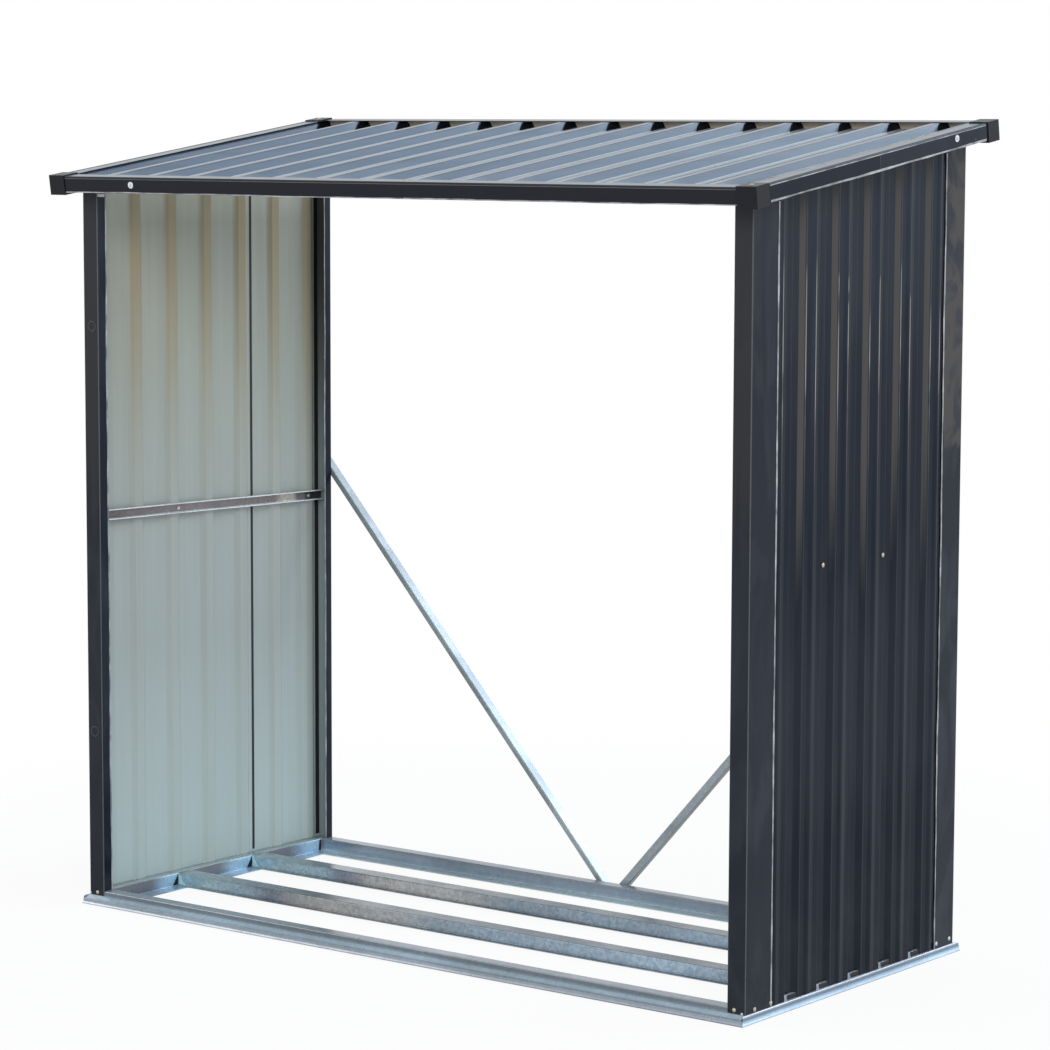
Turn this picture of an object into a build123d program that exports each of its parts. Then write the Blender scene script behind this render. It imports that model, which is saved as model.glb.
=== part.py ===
from build123d import *
import os
from math import cos, hypot, radians, sin, tan

# Log store of folded sheet steel: a galvanised floor frame, four folded corner posts,
# ribbed side walls, an open front and back, and a ribbed lean-to roof, high at the rear.
# Millimetres. X runs along the front to the right, Y to the rear, Z up, and the origin
# is on the ground under the middle of the roof.

# Overall sizes; the roof overhangs the posts on every side
total_height = 1540.0
frame_width = 1556.0
frame_depth = 690.0
side_overhang = 39.0
end_overhang = 53.0
roof_slope = 8.1

# Sheet thicknesses and the play left between pieces that only meet
post_sheet = 1.2
wall_sheet = 1.2
roof_sheet = 1.2
trim_sheet = 1.2
rail_sheet = 1.5
beam_sheet = 1.5
brace_sheet = 1.5
clearance = 0.3

# Inner radii of the bends
post_bend = 2.0
wall_bend = 2.5
roof_bend = 2.0
trim_bend = 1.0
rail_bend = 1.0
beam_bend = 1.0
brace_bend = 1.0

# Ribs of the wall sheets, which point into the store, with a low ridge between them
# that points outward; the ribs of the two walls are shifted by different amounts
wall_rib_pitch = 102.5
wall_rib_count = 7
wall_rib_base = 40.0
wall_rib_crest = 19.0
wall_rib_depth = 6.5
wall_ridge_base = 27.0
wall_ridge_crest = 6.0
wall_ridge_height = 1.1
right_rib_shift = 4.0
left_rib_shift = -2.0
wall_seam_y = 131.0

# Ribs of the roof sheets, which point up
roof_rib_pitch = 106.7
roof_rib_count = 16
roof_rib_base = 30.0
roof_rib_crest = 16.0
roof_rib_height = 15.0
first_roof_rib = 25.0
ribs_per_roof_sheet = 5

# Floor frame: one folded rail on each side, with two joists between the side rails
rail_height = 26.0
rail_top_width = 25.0
rail_inner_flange = 32.0
seat_height = 17.0
seat_width = 1.2
front_nose_reach = 13.0
front_nose_height = 11.0
side_nose_reach = 2.4
side_nose_height = 15.0
nose_foot_height = 4.0
front_toe_reach = 16.0
side_toe_reach = 5.0
joist_web_y = (-124.0, 98.0)
joist_top_flange = 36.0
joist_bottom_flange = 10.0
joist_end_gap = 1.5

# Corner posts
post_face = 38.0
post_return = 22.0
front_post_side = 78.0
rear_post_side = 70.0

# Rail along the inside of each wall, at half height; the left one falls to the rear
wall_rail_height = 770.0
left_rail_drop = 9.0
left_rail_fall = 1.0
wall_rail_web = 20.0
wall_rail_flange = 12.0

# Beams under the roof
front_beam_web = 22.0
rear_beam_web = 34.0
side_beam_web = 30.0
beam_flange = 20.0
beam_lip = 10.0
side_beam_flange = 17.0

# Roof trims and the moulded caps at their corners
trim_face = 31.0
trim_lip = 10.0
end_trim_flange = 27.0
side_trim_flange = 40.0
end_trim_joint_x = 60.0
side_trim_joint_y = -8.0
cap_wall = 2.0
cap_length = 40.0
cap_height = 38.0
cap_round = 2.5

# Braces across the open back, which make a V; both have their flange on the right,
# so it is the upper edge of the left brace and the lower edge of the right one
brace_top_height = 831.0
brace_foot_x = 32.0
left_brace_leg = 11.0
left_brace_flange = 21.0
right_brace_leg = 15.5
right_brace_flange = 15.0

# Places that follow from the sizes
half_width = frame_width / 2
half_depth = frame_depth / 2
roof_width = frame_width + 2 * side_overhang
roof_depth = frame_depth + 2 * end_overhang
slope_sin = sin(radians(roof_slope))
slope_cos = cos(radians(roof_slope))
roof_length = (roof_depth - cap_height * slope_sin) / slope_cos
roof_middle_y = -cap_height * slope_sin / 2
roof_middle_z = total_height - roof_length / 2 * slope_sin
crest_level = -cap_wall - trim_sheet
pan_under_level = crest_level - roof_rib_height - roof_sheet
on_roof = Location((0, roof_middle_y, roof_middle_z), (roof_slope, 0, 0))

# A bend takes at most this share of the flats beside it; smaller ones stay sharp
bend_room = 0.45
least_cut = 0.3


def pan_under_z(y):
    """Height of the underside of the roof sheets over a point of the ground."""
    run = (y - roof_middle_y + pan_under_level * slope_sin) / slope_cos
    return roof_middle_z + run * slope_sin + pan_under_level * slope_cos


def rounded(corners, radii):
    """Face inside a closed outline whose corners are rounded by the given radii."""
    edges = []
    ends = []
    for i, (corner, radius) in enumerate(zip(corners, radii)):
        here = Vector(corner)
        to_last = Vector(corners[i - 1]) - here
        to_next = Vector(corners[(i + 1) % len(corners)]) - here
        half_angle = radians(to_last.get_angle(to_next)) / 2
        room = bend_room * min(to_last.length, to_next.length)
        cut = min(radius / tan(half_angle), room)
        if cut < least_cut:
            ends.append((here, here))
            continue
        to_last = to_last.normalized()
        to_next = to_next.normalized()
        inward = (to_last + to_next).normalized()
        middle = here + inward * cut * (1 / cos(half_angle) - tan(half_angle))
        ends.append((here + to_last * cut, here + to_next * cut))
        edges.append(ThreePointArc(ends[-1][0], middle, ends[-1][1]))
    for i, (arrive, leave) in enumerate(ends):
        edges.append(Line(ends[i - 1][1], arrive))
    return make_face(edges)


def folded(path, thickness, bend, sharp=None):
    """Section of a sheet bent along a path, its thickness to the left of the walk."""
    normals = []
    for (u0, v0), (u1, v1) in zip(path, path[1:]):
        length = hypot(u1 - u0, v1 - v0)
        normals.append(((v0 - v1) / length, (u1 - u0) / length))
    back = []
    radii = []
    back_radii = []
    for i, (u, v) in enumerate(path):
        before = normals[max(i - 1, 0)]
        after = normals[min(i, len(normals) - 1)]
        mitre = thickness / (1 + before[0] * after[0] + before[1] * after[1])
        back.append((u + mitre * (before[0] + after[0]), v + mitre * (before[1] + after[1])))
        turn = before[0] * after[1] - before[1] * after[0]
        outer_bend = bend + thickness
        radii.append(outer_bend if turn > 0 else bend)
        back_radii.append(bend if turn > 0 else outer_bend)
    for i in (0, -1) if sharp is None else (0, sharp, -1):
        radii[i] = 0.0
        back_radii[i] = 0.0
    return rounded(path + back[::-1], radii + back_radii[::-1])


def ribbed(start, end, ribs):
    """Path of a sheet with ribs (middle, base, crest, height); it may end on a crest."""
    path = [(start, 0.0)]
    for middle, base, crest, height in ribs:
        for offset, level in ((-base, 0.0), (-crest, height), (crest, height), (base, 0.0)):
            if start < middle + offset / 2 < end:
                path.append((middle + offset / 2, level))
    path.append((end, path[-1][1]))
    return path


def along_x(section, start, end):
    """Prism from x = start to end of a section drawn in Y and Z."""
    face = Pos(start, 0, 0) * (Plane.YZ * section)
    return extrude(face, amount=end - start, dir=(1, 0, 0))


def along_y(section, start, end):
    """Prism from y = start to end of a section drawn in X and Z."""
    face = Pos(0, start, 0) * (Plane.XZ * section)
    return extrude(face, amount=end - start, dir=(0, 1, 0))


def upright(section, start, end):
    """Prism from z = start to end of a section drawn in X and Y."""
    return extrude(Pos(0, 0, start) * section, amount=end - start, dir=(0, 0, 1))


def span_box(x, y, z):
    """Box between two values on each axis."""
    size = [high - low for low, high in (x, y, z)]
    middle = [(high + low) / 2 for low, high in (x, y, z)]
    return Pos(*middle) * Box(*size)


nodes = {}
above_sheets = on_roof * span_box(
    (-roof_width, roof_width),
    (-roof_length, roof_length),
    (pan_under_level - clearance, total_height),
)


# Floor rails: inner flange on the ground, web, flat top, a seat for posts and sheets
# outside it, then the apron and its toe. Distances are measured outward from the posts.
# The corner at the foot of the seat stays sharp, since the sheets stand in it.
def rail_section(backing, nose_reach, nose_height, toe_reach):
    web = -backing - rail_sheet - rail_top_width
    seat_foot = (-backing - rail_sheet, seat_height - rail_sheet)
    path = [
        (web - rail_inner_flange, 0.0),
        (web, 0.0),
        (web, rail_height - rail_sheet),
        (-backing - rail_sheet, rail_height - rail_sheet),
        seat_foot,
        (seat_width, seat_height - rail_sheet),
        (nose_reach, nose_height - rail_sheet),
        (nose_reach, nose_foot_height),
        (toe_reach, 0.0),
    ]
    return folded(path, rail_sheet, rail_bend, path.index(seat_foot))


end_rail = rail_section(post_sheet, front_nose_reach, front_nose_height, front_toe_reach)
side_backing = post_sheet + wall_ridge_height + wall_sheet
side_rail = rail_section(side_backing, side_nose_reach, side_nose_height, side_toe_reach)
seat_corner = (half_width - side_backing, half_depth - post_sheet)
toe_corner = (half_width + side_toe_reach, half_depth + front_toe_reach)
mitre_run = half_depth / 2
inner_corner = (seat_corner[0] - mitre_run, seat_corner[1] - mitre_run)
far_corner = (2 * toe_corner[0] - seat_corner[0], 2 * toe_corner[1] - seat_corner[1])
end_region = [
    (-inner_corner[0], inner_corner[1]),
    inner_corner,
    seat_corner,
    far_corner,
    (-far_corner[0], far_corner[1]),
    (-seat_corner[0], seat_corner[1]),
]
end_shape = make_face(Polyline(*end_region, close=True))
rear_side = upright(end_shape, -rail_height, 2 * rail_height)
front_side = mirror(rear_side, Plane.XZ)
rail_reach = toe_corner[0]
rear_rail = along_x(Pos(half_depth, 0) * end_rail, -rail_reach, rail_reach)
nodes["base_rail_rear"] = rear_rail & rear_side
nodes["base_rail_front"] = mirror(nodes["base_rail_rear"], Plane.XZ)
rail_reach = toe_corner[1]
right_rail = along_y(Pos(half_width, 0) * side_rail, -rail_reach, rail_reach)
nodes["base_rail_right"] = right_rail - rear_side - front_side
nodes["base_rail_left"] = mirror(nodes["base_rail_right"], Plane.YZ)

# Floor joists: folded channels that stand on the inner flanges of the side rails
side_web_x = half_width - side_backing - rail_sheet - rail_top_width - rail_sheet
joist_reach = side_web_x - joist_end_gap
for name, web_y in zip(("front", "rear"), joist_web_y):
    joist_path = [
        (web_y - joist_bottom_flange, rail_sheet),
        (web_y, rail_sheet),
        (web_y, rail_height - rail_sheet),
        (web_y + joist_top_flange, rail_height - rail_sheet),
    ]
    joist_section = folded(joist_path, rail_sheet, rail_bend)
    nodes["floor_joist_" + name] = along_x(joist_section, -joist_reach, joist_reach)

# Corner posts: side flange outside the wall, face, and a return into the store; over
# the floor rails whatever stands inside the seats is cut away
foot_cut = span_box(
    (0, seat_corner[0]),
    (-seat_corner[1], seat_corner[1]),
    (0, rail_height + clearance),
)
for end_name, side_length in (("front", front_post_side), ("rear", rear_post_side)):
    post_path = [
        (half_width, half_depth - side_length),
        (half_width, half_depth),
        (half_width - post_face, half_depth),
        (half_width - post_face, half_depth - post_return),
    ]
    post = upright(folded(post_path, post_sheet, post_bend), seat_height, total_height)
    if end_name == "front":
        post = mirror(post, Plane.XZ)
    post = post - above_sheets - foot_cut
    nodes["corner_post_" + end_name + "_right"] = post
    nodes["corner_post_" + end_name + "_left"] = mirror(post, Plane.YZ)

# Wall sheets: ribs towards the inside, and ridges that touch the posts' side flanges
wall_face_x = half_width - post_sheet - wall_ridge_height
wall_end = half_depth - post_sheet - post_bend
sheet_spans = (("front", -wall_end, wall_seam_y), ("rear", wall_seam_y + clearance, wall_end))
for side_name, rib_shift in (("right", right_rib_shift), ("left", left_rib_shift)):
    folds = []
    for i in range(wall_rib_count):
        rib_y = rib_shift + (i - (wall_rib_count - 1) / 2) * wall_rib_pitch
        ridge_y = rib_y + wall_rib_pitch / 2
        folds.append((rib_y, wall_rib_base, wall_rib_crest, wall_rib_depth))
        folds.append((ridge_y, wall_ridge_base, wall_ridge_crest, -wall_ridge_height))
    for name, start, end in sheet_spans:
        whole = [fold for fold in folds if start + fold[1] / 2 < fold[0] < end - fold[1] / 2]
        path = [(wall_face_x - depth, y) for y, depth in ribbed(start, end, whole)]
        sheet = upright(folded(path, wall_sheet, wall_bend), seat_height, total_height)
        sheet = sheet - above_sheets - foot_cut
        if side_name == "left":
            sheet = mirror(sheet, Plane.YZ)
        nodes[side_name + "_wall_sheet_" + name] = sheet

# Wall rails: channels across the rib crests, open towards the inside
crest_x = wall_face_x - wall_sheet - wall_rib_depth
rail_low = wall_rail_height - wall_rail_web / 2
wall_rail_reach = wall_end - clearance
rail_path = [
    (crest_x - wall_rail_flange, rail_low + wall_rail_web),
    (crest_x, rail_low + wall_rail_web),
    (crest_x, rail_low),
    (crest_x - wall_rail_flange, rail_low),
]
wall_rail = folded(rail_path[::-1], beam_sheet, beam_bend)
nodes["right_wall_rail"] = along_y(wall_rail, -wall_rail_reach, wall_rail_reach)
fallen = Pos(0, 0, wall_rail_height - left_rail_drop) * Rot(-left_rail_fall, 0, 0)
left_rail = mirror(nodes["right_wall_rail"], Plane.YZ)
nodes["left_wall_rail"] = fallen * Pos(0, 0, -wall_rail_height) * left_rail

# Roof beams: front and rear between the posts, and one inside the head of each wall
beam_reach = half_width - post_face
beam_y = half_depth - post_sheet
beam_places = (("front", -beam_y, 1, front_beam_web), ("rear", beam_y, -1, rear_beam_web))
for name, face_y, inward, web in beam_places:
    foot_z = pan_under_z(face_y) - web
    flange_y = face_y + inward * beam_flange
    beam_path = [
        (face_y + inward * beam_lip, foot_z),
        (face_y, foot_z),
        (face_y, pan_under_z(face_y) - clearance),
        (flange_y, pan_under_z(flange_y) - clearance),
    ]
    section = folded(beam_path if inward < 0 else beam_path[::-1], beam_sheet, beam_bend)
    nodes["top_beam_" + name] = along_x(section, -beam_reach, beam_reach)
side_beam_path = [
    (crest_x - side_beam_flange, pan_under_level - clearance),
    (crest_x, pan_under_level - clearance),
    (crest_x, pan_under_level - side_beam_web),
]
side_beam = folded(side_beam_path[::-1], beam_sheet, beam_bend)
side_beam = on_roof * along_y(side_beam, -roof_length / 2, roof_length / 2)
side_beam = side_beam & span_box((0, roof_width), (-wall_end, wall_end), (0, total_height))
nodes["top_beam_right"] = side_beam
nodes["top_beam_left"] = mirror(side_beam, Plane.YZ)

# Roof sheets: three side by side, with the last crest under the right-hand trim
sheet_half_width = roof_width / 2 - cap_wall - trim_sheet - trim_bend - clearance
sheet_half_length = roof_length / 2 - cap_wall - trim_sheet - trim_bend - clearance
first_rib_x = first_roof_rib - roof_width / 2
roof_ribs = [first_rib_x + i * roof_rib_pitch for i in range(roof_rib_count)]
roof_sheet_names = ("left", "middle", "right")
joint_xs = [
    first_rib_x + (ribs_per_roof_sheet * i - 0.5) * roof_rib_pitch
    for i in range(1, len(roof_sheet_names))
]
starts = [-sheet_half_width] + [x + clearance for x in joint_xs]
ends = joint_xs + [sheet_half_width]
for name, start, end in zip(roof_sheet_names, starts, ends):
    shape = (roof_rib_base, roof_rib_crest, roof_rib_height)
    ribs = [(rib,) + shape for rib in roof_ribs if start < rib < end]
    path = [(x, pan_under_level + level) for x, level in ribbed(start, end, ribs)]
    section = folded(path, roof_sheet, roof_bend)
    sheet = along_y(section, -sheet_half_length, sheet_half_length)
    nodes["roof_sheet_" + name] = on_roof * sheet


# Roof trims: a flange over the rib crests, a face, and a lip below; each side of the
# roof has two lengths, which meet in the middle
def trim_section(flange):
    path = [(-trim_lip, -trim_face), (0.0, -trim_face), (0.0, 0.0), (-flange, 0.0)]
    return folded(path, trim_sheet, trim_bend)


trim_top = -cap_wall
end_face = roof_length / 2 - cap_wall
side_face = roof_width / 2 - cap_wall
end_section = Pos(end_face, trim_top) * trim_section(end_trim_flange)
side_section = Pos(side_face, trim_top) * trim_section(side_trim_flange)
side_reach = end_face - end_trim_flange - clearance
end_spans = (
    ("left", -side_face, end_trim_joint_x - clearance),
    ("right", end_trim_joint_x, side_face),
)
for name, start, end in end_spans:
    trim = along_x(end_section, start, end)
    nodes["roof_trim_rear_" + name] = on_roof * trim
    nodes["roof_trim_front_" + name] = on_roof * mirror(trim, Plane.XZ)
side_spans = (
    ("front", -side_reach, side_trim_joint_y - clearance),
    ("rear", side_trim_joint_y, side_reach),
)
for name, start, end in side_spans:
    trim = along_y(side_section, start, end)
    nodes["roof_trim_right_" + name] = on_roof * trim
    nodes["roof_trim_left_" + name] = on_roof * mirror(trim, Plane.YZ)

# Corner caps: hollow mouldings over the trims, open on their two inner sides
cap_body = span_box(
    (roof_width / 2 - cap_length, roof_width / 2),
    (roof_length / 2 - cap_length, roof_length / 2),
    (-cap_height, 0),
)
outer_edge = cap_body.edges().filter_by(Axis.Z).sort_by(Axis.X)[-2:].sort_by(Axis.Y)[-1]
cap_body = fillet(outer_edge, cap_round)
cap_hollow = span_box(
    (roof_width / 2 - 2 * cap_length, side_face),
    (roof_length / 2 - 2 * cap_length, end_face),
    (cap_wall - cap_height, trim_top),
)
rear_right_cap = cap_body - cap_hollow
for end_name, end_plane in (("rear", None), ("front", Plane.XZ)):
    for side_name, side_plane in (("right", None), ("left", Plane.YZ)):
        cap = rear_right_cap
        for plane in (end_plane, side_plane):
            if plane is not None:
                cap = mirror(cap, plane)
        nodes["roof_cap_" + end_name + "_" + side_name] = on_roof * cap

# Braces: angles behind the rear posts, from half height down to the seat of the rear rail
def brace(side, leg, flange):
    run = side * (half_width - post_face / 2 - brace_foot_x)
    rise = brace_top_height - rail_height
    fold_line = Plane(
        origin=(side * brace_foot_x, half_depth, rail_height),
        x_dir=(run, 0, rise),
        z_dir=(-rise, 0, run),
    )
    section = folded([(0.0, leg), (0.0, 0.0), (flange, 0.0)], brace_sheet, brace_bend)
    bar = fold_line.location * along_x(section, -rail_height, hypot(run, rise))
    above_seat = span_box(
        (-half_width, half_width),
        (half_depth, half_depth + flange),
        (seat_height, total_height),
    )
    return bar & above_seat


nodes["brace_left"] = brace(-1, left_brace_leg, left_brace_flange)
nodes["brace_right"] = brace(1, right_brace_leg, right_brace_flange)

os.makedirs("parts", exist_ok=True)
for name, solid in nodes.items():
    export_step(solid, "parts/" + name + ".step")
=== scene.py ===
import bmesh
import bpy
from math import cos, pi, radians, sin
from mathutils import Matrix, Vector


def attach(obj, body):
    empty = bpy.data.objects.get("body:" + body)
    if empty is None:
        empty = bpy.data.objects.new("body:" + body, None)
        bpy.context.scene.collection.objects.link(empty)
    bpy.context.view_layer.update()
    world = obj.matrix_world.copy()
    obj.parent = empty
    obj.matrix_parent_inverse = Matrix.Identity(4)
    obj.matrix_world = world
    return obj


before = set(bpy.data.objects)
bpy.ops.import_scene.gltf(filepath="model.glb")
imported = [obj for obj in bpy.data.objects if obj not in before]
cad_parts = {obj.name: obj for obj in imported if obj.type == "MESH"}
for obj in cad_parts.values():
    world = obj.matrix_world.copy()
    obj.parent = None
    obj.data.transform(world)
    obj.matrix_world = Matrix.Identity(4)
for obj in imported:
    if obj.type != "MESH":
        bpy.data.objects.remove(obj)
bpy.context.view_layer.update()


# Camera. It stands off the front right corner at about roof height and looks slightly
# down, so the roof is seen almost edge-on and the right wall at a slant.
eye = Vector((4.075, -5.262, 1.530))
camera_yaw = radians(-37.51)
camera_pitch = radians(6.48)
camera_roll = radians(0.18)
focal_length = 121.34
sensor_width = 36.0

forward = Vector((
    sin(camera_yaw) * cos(camera_pitch),
    cos(camera_yaw) * cos(camera_pitch),
    -sin(camera_pitch),
))
level_right = Vector((cos(camera_yaw), -sin(camera_yaw), 0.0))
level_up = level_right.cross(forward)
camera_right = level_right * cos(camera_roll) + level_up * sin(camera_roll)
camera_up = level_up * cos(camera_roll) - level_right * sin(camera_roll)
lens = bpy.data.cameras.new("camera")
lens.lens = focal_length
lens.sensor_width = sensor_width
camera = bpy.data.objects.new("camera", lens)
camera.matrix_world = Matrix.Translation(eye) @ Matrix(
    (camera_right, camera_up, -forward)
).transposed().to_4x4()
bpy.context.scene.collection.objects.link(camera)
bpy.context.scene.camera = camera
bpy.context.scene.view_settings.view_transform = "Standard"


# Studio. A pale floor and surroundings that the lens and glossy sheet see as white, a
# broad lamp ahead to the right, a weaker one to the left, a bluish panel behind the roof
# and a tall narrow lamp off the right wall that draws a line along each of its folds.
floor_size = 40.0
floor_level = -0.0006
floor_white = (0.84, 0.85, 0.86, 1.0)
shadow_share = 0.1
clear_floor_radius = (1.1, 2.6)
surround_tint = (0.97, 0.985, 1.0, 1.0)
surround_strength = 0.62
pure_white = (1.0, 1.0, 1.0, 1.0)
lamp_target = Vector((0.0, 0.0, 0.7))
lamps = (
    ("lamp_front_right", (3.6, -4.6, 3.6), (2.6, 2.6), 150.0, (1.0, 1.0, 1.0)),
    ("lamp_front_left", (-4.6, -2.2, 3.0), (2.6, 2.6), 80.0, (1.0, 0.98, 0.95)),
    ("sky_behind", (2.4, 4.4, 4.0), (3.0, 3.0), 130.0, (0.68, 0.84, 1.0)),
    ("fold_light", (5.0, 3.3, 1.5), (0.5, 2.6), 30.0, (0.95, 0.98, 1.0)),
)


def feed(tree, socket, value):
    """Gives a socket its value, or a link where the value is another node's output."""
    if isinstance(value, bpy.types.NodeSocket):
        tree.links.new(value, socket)
    else:
        socket.default_value = value


def put(tree, kind, settings=None, **inputs):
    """A node in a tree, with its settings, and its inputs given as values or links."""
    made = tree.nodes.new(kind)
    for key, value in (settings or {}).items():
        setattr(made, key, value)
    for key, value in inputs.items():
        feed(tree, made.inputs[key.replace("_", " ")], value)
    return made


def reckon(tree, operation, *values):
    """The output of a Math node on one, two or three values or links."""
    made = put(tree, "ShaderNodeMath", {"operation": operation})
    for socket, value in zip(made.inputs, values):
        feed(tree, socket, value)
    return made.outputs[0]


def times(tree, first, *others):
    """The product of values or links."""
    for other in others:
        first = reckon(tree, "MULTIPLY", first, other)
    return first


def ranged(tree, value, low, high, first=0.0, last=1.0, smooth=False):
    """A value brought from one range into another, and held at its ends."""
    settings = {"interpolation_type": "SMOOTHSTEP"} if smooth else None
    return put(
        tree, "ShaderNodeMapRange", settings, Value=value, From_Min=low, From_Max=high,
        To_Min=first, To_Max=last,
    ).outputs[0]


def points_on(tree):
    """The place of each point on its piece, in metres."""
    return tree.nodes.new("ShaderNodeTexCoord").outputs["Object"]


def seen_white(tree):
    """1 for rays that the lens, gloss and glass send out, 0 for light that falls."""
    path = tree.nodes.new("ShaderNodeLightPath").outputs
    sight = reckon(tree, "MAXIMUM", path["Is Camera Ray"], path["Is Glossy Ray"])
    return reckon(tree, "MAXIMUM", sight, path["Is Transmission Ray"])


def blended(tree, share, first, second):
    """A shader between two shaders."""
    made = put(tree, "ShaderNodeMixShader", Fac=share)
    tree.links.new(first.outputs[0], made.inputs[1])
    tree.links.new(second.outputs[0], made.inputs[2])
    return made


def close(tree, shader, kind="ShaderNodeOutputMaterial"):
    """Ends a tree with the shader that it shows."""
    end = tree.nodes.new(kind)
    tree.links.new(shader.outputs[0], end.inputs[0])


def new_material(name):
    """A material whose tree is empty, and that tree."""
    made = bpy.data.materials.new(name)
    made.use_nodes = True
    made.node_tree.nodes.clear()
    return made, made.node_tree


surround = bpy.data.worlds.new("surround")
surround.use_nodes = True
tree = surround.node_tree
tree.nodes.clear()
falling = put(tree, "ShaderNodeBackground", Color=surround_tint, Strength=surround_strength)
white = put(tree, "ShaderNodeBackground", Color=pure_white, Strength=1.0)
close(tree, blended(tree, seen_white(tree), falling, white), "ShaderNodeOutputWorld")
bpy.context.scene.world = surround

floor_finish, tree = new_material("floor")
matt = put(tree, "ShaderNodeBsdfDiffuse", Color=floor_white)
glow = put(tree, "ShaderNodeEmission", Color=pure_white, Strength=1.0)
distance = put(tree, "ShaderNodeVectorMath", {"operation": "LENGTH"})
feed(tree, distance.inputs[0], points_on(tree))
far = ranged(
    tree, distance.outputs["Value"], *clear_floor_radius, 1.0 - shadow_share, 1.0, smooth=True,
)
close(tree, blended(tree, times(tree, far, seen_white(tree)), matt, glow))

bpy.ops.mesh.primitive_plane_add(size=floor_size, location=(0.0, 0.0, floor_level))
floor = bpy.context.object
floor.name = "floor"
floor.data.materials.append(floor_finish)

for name, spot, size, power, tint in lamps:
    light = bpy.data.lights.new(name, "AREA")
    light.shape = "RECTANGLE"
    light.size = size[0]
    light.size_y = size[1]
    light.energy = power
    light.color = tint
    lamp = bpy.data.objects.new(name, light)
    lamp.location = spot
    lamp.rotation_euler = (lamp_target - Vector(spot)).to_track_quat("-Z", "Y").to_euler()
    bpy.context.scene.collection.objects.link(lamp)


# Base rails. Four folded steel rails lie on the ground and make the frame of the floor,
# bright zinc-coated, mitred and screwed at the corners; the posts stand on their seats.
rail_height = 0.026
half_depth = 0.345
end_rail_web_y = 0.3188
side_rail_nose_x = 0.762
plate_thickness = 0.0003


def group(name, inputs, outputs):
    """A shader node group with named sockets, what it is given and what it gives."""
    made = bpy.data.node_groups.new(name, "ShaderNodeTree")
    for socket_name, value in inputs:
        kind = "NodeSocketFloat"
        if isinstance(value, tuple):
            kind = "NodeSocketColor" if len(value) == 4 else "NodeSocketVector"
        socket = made.interface.new_socket(socket_name, in_out="INPUT", socket_type=kind)
        socket.default_value = value
    for socket_name, kind in outputs:
        made.interface.new_socket(socket_name, in_out="OUTPUT", socket_type=kind)
    given = made.nodes.new("NodeGroupInput").outputs
    return made, given, made.nodes.new("NodeGroupOutput").inputs


def use_group(tree, made, **inputs):
    """The outputs of a node group placed in a tree with its own values."""
    return put(tree, "ShaderNodeGroup", {"node_tree": made}, **inputs).outputs


def split(tree, vector):
    """X, Y and Z of a vector."""
    return put(tree, "ShaderNodeSeparateXYZ", Vector=vector).outputs


def one_value(tree, colour):
    """One value out of a colour."""
    return put(tree, "ShaderNodeSeparateColor", Color=colour).outputs[0]


def noise(tree, points, scale, detail, **more):
    """Noise over points; most of it lies between 0.35 and 0.65."""
    return put(
        tree, "ShaderNodeTexNoise", Vector=points, Scale=scale, Detail=detail, **more,
    ).outputs["Fac"]


def stretched(tree, points, *scales):
    """Points scaled along X, Y and Z, so that noise over them is drawn out."""
    return put(tree, "ShaderNodeMapping", Vector=points, Scale=scales).outputs[0]


def mixed(tree, share, first, second, blend="MIX"):
    """A colour between two colours or links, or one of another blend of them."""
    made = put(tree, "ShaderNodeMix", {"data_type": "RGBA", "blend_type": blend})
    for number, value in ((0, share), (6, first), (7, second)):
        feed(tree, made.inputs[number], (*value, 1.0) if isinstance(value, tuple) else value)
    return made.outputs[2]


def ramp(tree, value, low, high, stops):
    """Colours along a value, from stops given in the value's own measure."""
    made = put(tree, "ShaderNodeValToRGB", Fac=ranged(tree, value, low, high))
    band = made.color_ramp
    band.interpolation = "EASE"
    while len(band.elements) < len(stops):
        band.elements.new(0.5)
    for element, (place, colour) in zip(band.elements, stops):
        element.position = (place - low) / (high - low)
        element.color = (*colour, 1.0)
    return made.outputs["Color"]


def spot_and_face(tree):
    """The place of a point and the way its face looks, as X, Y and Z of each."""
    faces = tree.nodes.new("ShaderNodeNewGeometry").outputs["Normal"]
    return split(tree, points_on(tree)), split(tree, faces)


def dress(node_name, finish):
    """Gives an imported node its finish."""
    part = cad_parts[node_name]
    part.data.materials.clear()
    part.data.materials.append(finish)


# Spangle: the zinc's crystals and broad clouds break up a colour, and it is duller in
# patches. The crystals are also put out as a height.
spangle, given, result = group(
    "spangle",
    (
        ("Colour", (0.3, 0.3, 0.3, 1.0)), ("Crystal share", 0.1), ("Cloud share", 0.12),
        ("Crystal scale", 150.0),
    ),
    (
        ("Colour", "NodeSocketColor"), ("Roughness", "NodeSocketFloat"),
        ("Crystals", "NodeSocketFloat"),
    ),
)
points = points_on(spangle)
cells = put(spangle, "ShaderNodeTexVoronoi", Vector=points, Scale=given["Crystal scale"])
crystals = times(spangle, one_value(spangle, cells.outputs["Color"]), 0.65)
fine = times(spangle, noise(spangle, points, 420.0, 3.0), 0.35)
crystals = reckon(spangle, "ADD", crystals, fine)
clouds = noise(spangle, stretched(spangle, points, 3.0, 5.0, 9.0), 1.0, 3.0, Roughness=0.55)
clouds = ranged(spangle, clouds, 0.36, 0.64)
colour = given["Colour"]
for pattern, share in ((crystals, given["Crystal share"]), (clouds, given["Cloud share"])):
    least = reckon(spangle, "SUBTRACT", 1.0, share)
    most = reckon(spangle, "ADD", 1.0, share)
    swing = ranged(spangle, pattern, 0.0, 1.0, least, most)
    colour = mixed(spangle, 1.0, colour, swing, "MULTIPLY")
dull_patches = noise(spangle, points, 11.0, 4.0, Roughness=0.6)
feed(spangle, result["Colour"], colour)
feed(spangle, result["Roughness"], ranged(spangle, dull_patches, 0.38, 0.66, 0.2, 0.36))
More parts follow.
